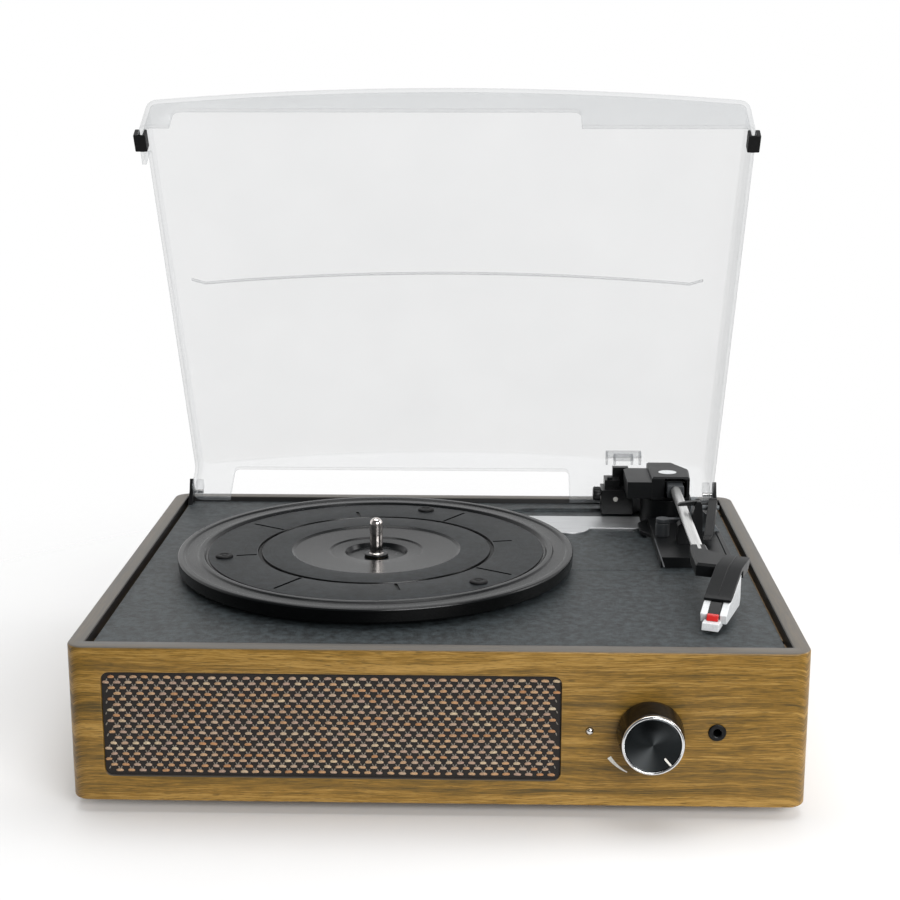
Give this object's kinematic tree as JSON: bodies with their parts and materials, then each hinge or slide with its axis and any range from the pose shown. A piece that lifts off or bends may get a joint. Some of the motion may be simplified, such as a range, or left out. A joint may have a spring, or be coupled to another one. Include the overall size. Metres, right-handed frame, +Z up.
{
  "type": "turntable record player",
  "caption": "Turntable record player: wooden cabinet with built-in speakers, belt drive platter, straight tonearm and hinged clear dust cover.",
  "frame": {"origin": "on the floor, at the centre of the whole player's bounding box with the dust cover open as at rest", "axes": "+Z up; -Y is the front with the grille and the volume knob; +X is the tonearm's side; +Y is the back with the hinge and the sockets"},
  "size_m": [0.35, 0.3291, 0.3378],
  "materials": {
    "walnut": "satin stained wood veneer",
    "raw_wood": "raw fibreboard and timber",
    "deck_black": "fine leather-like grain",
    "black_plastic": "satin moulded",
    "grey_plastic": "satin moulded",
    "platter_black": "satin turned look",
    "silver": "satin",
    "steel": "polished",
    "chrome": "polished",
    "dark_aluminium": "spun, dark anodised",
    "gloss_black": "gloss",
    "brass": "turned",
    "motor_can": "plated sheet metal",
    "rubber": "matt",
    "cone_paper": "pressed paper",
    "cloth": "woven, tan stitches on dark brown",
    "clear_cover": "clear acrylic",
    "white_plastic": "gloss",
    "red_plastic": "gloss",
    "board_green": "lacquered board",
    "component": "moulded",
    "heat_sink": "black anodised",
    "led_lens": "translucent"
  },
  "bodies": {
    "cabinet": {"arm_base": "black_plastic", "arm_rest": "black_plastic", "board_components": "component", "bottom_panel": "raw_wood", "cabinet_shell": "walnut", "case_screws": "steel", "circuit_boards": "board_green", "cue_bracket": "grey_plastic", "dc_inlet": "black_plastic", "deck_plate": "deck_black", "drive_belt": "rubber", "feet": "rubber", "frame_blocks": "raw_wood", "grille_cloth": "cloth", "headphone_jack": "black_plastic", "heat_sink": "heat_sink", "hinge_pins": "steel", "hinge_posts": "black_plastic", "led_lens": "led_lens", "lift_guide": "grey_plastic", "line_outputs": "brass", "motor": "motor_can", "motor_bracket": "black_plastic", "rear_panel": "black_plastic", "speaker_baffle": "raw_wood", "speaker_cones": "cone_paper", "speaker_drivers": "motor_can", "spindle": "steel", "spindle_bearing": "black_plastic", "spindle_clip": "black_plastic", "switch_block": "black_plastic", "trim_strip": "silver", "volume_pot": "black_plastic"},
    "platter": {"platter": "platter_black", "platter_bush": "brass", "platter_pads": "rubber"},
    "motor_pulley": {"motor_pulley": "brass"},
    "turret": {"turret_base": "black_plastic", "turret_housing": "black_plastic", "arm_pivot_pin": "steel"},
    "tonearm": {"arm_boot": "grey_plastic", "arm_carrier": "black_plastic", "arm_elbow": "black_plastic", "arm_tube": "silver", "cartridge": "white_plastic", "headshell": "black_plastic", "stylus_block": "red_plastic", "stylus_guard": "white_plastic", "stylus_holder": "black_plastic"},
    "dust_cover": {"dust_cover": "clear_cover", "cover_bumpers": "rubber"},
    "volume_knob": {"knob_body": "gloss_black", "knob_cap": "dark_aluminium", "knob_ring": "chrome", "knob_shaft": "steel"},
    "cue_lever": {"cue_lever": "black_plastic"},
    "cue_lifter": {"lift_bar": "grey_plastic"},
    "arm_latch": {"arm_latch": "black_plastic"},
    "speed_selector": {"speed_knob": "black_plastic"},
    "autostop_slide": {"autostop_switch": "black_plastic"}
  },
  "joints": [
    {"name": "platter_spin", "type": "hinge", "parent": "cabinet", "child": "platter", "pos_m": [-0.0381, -0.00391, 0.0912], "axis": [0, 0, 1], "continuous": true},
    {"name": "motor_spin", "type": "hinge", "parent": "cabinet", "child": "motor_pulley", "pos_m": [-0.10245, 0.05008, 0.081], "axis": [0, 0, 1], "continuous": true},
    {"name": "tonearm_swing", "type": "hinge", "parent": "cabinet", "child": "turret", "pos_m": [0.1295, 0.09219, 0.096], "axis": [0, 0, -1], "range_deg": [0, 46]},
    {"name": "tonearm_tilt", "type": "hinge", "parent": "turret", "child": "tonearm", "pos_m": [0.1333, 0.09219, 0.1045], "axis": [-1, 0, 0], "range_deg": [0, 4.6]},
    {"name": "cover_hinge", "type": "hinge", "parent": "cabinet", "child": "dust_cover", "pos_m": [0, 0.12729, 0.0876], "axis": [-1, 0, 0], "range_deg": [-61.5, 0]},
    {"name": "volume_turn", "type": "hinge", "parent": "cabinet", "child": "volume_knob", "pos_m": [0.1002, -0.15431, 0.04405], "axis": [0, 1, 0], "range_deg": [-278, 0]},
    {"name": "cue_lever_turn", "type": "hinge", "parent": "cabinet", "child": "cue_lever", "pos_m": [0.1539, 0.05969, 0.0975], "axis": [-1, 0, 0], "range_deg": [0, 38]},
    {"name": "cue_lift", "type": "slide", "parent": "cabinet", "child": "cue_lifter", "axis": [0, 0, 1], "range_m": [0, 0.0022]},
    {"name": "latch_turn", "type": "hinge", "parent": "cabinet", "child": "arm_latch", "pos_m": [0.1406, 0.02269, 0.11], "axis": [0, 1, 0], "range_deg": [0, 95]},
    {"name": "speed_slide", "type": "slide", "parent": "cabinet", "child": "speed_selector", "axis": [0, 1, 0], "range_m": [0, 0.007]},
    {"name": "autostop_move", "type": "slide", "parent": "cabinet", "child": "autostop_slide", "axis": [0, 1, 0], "range_m": [0, 0.004]}
  ],
  "couplings": [
    {"joint": "motor_spin", "follows": "platter_spin", "ratio": 12.4},
    {"joint": "tonearm_tilt", "follows": "tonearm_swing", "ratio": 0.1},
    {"joint": "cue_lever_turn", "follows": "cue_lift", "rad_per_m": 301}
  ]
}
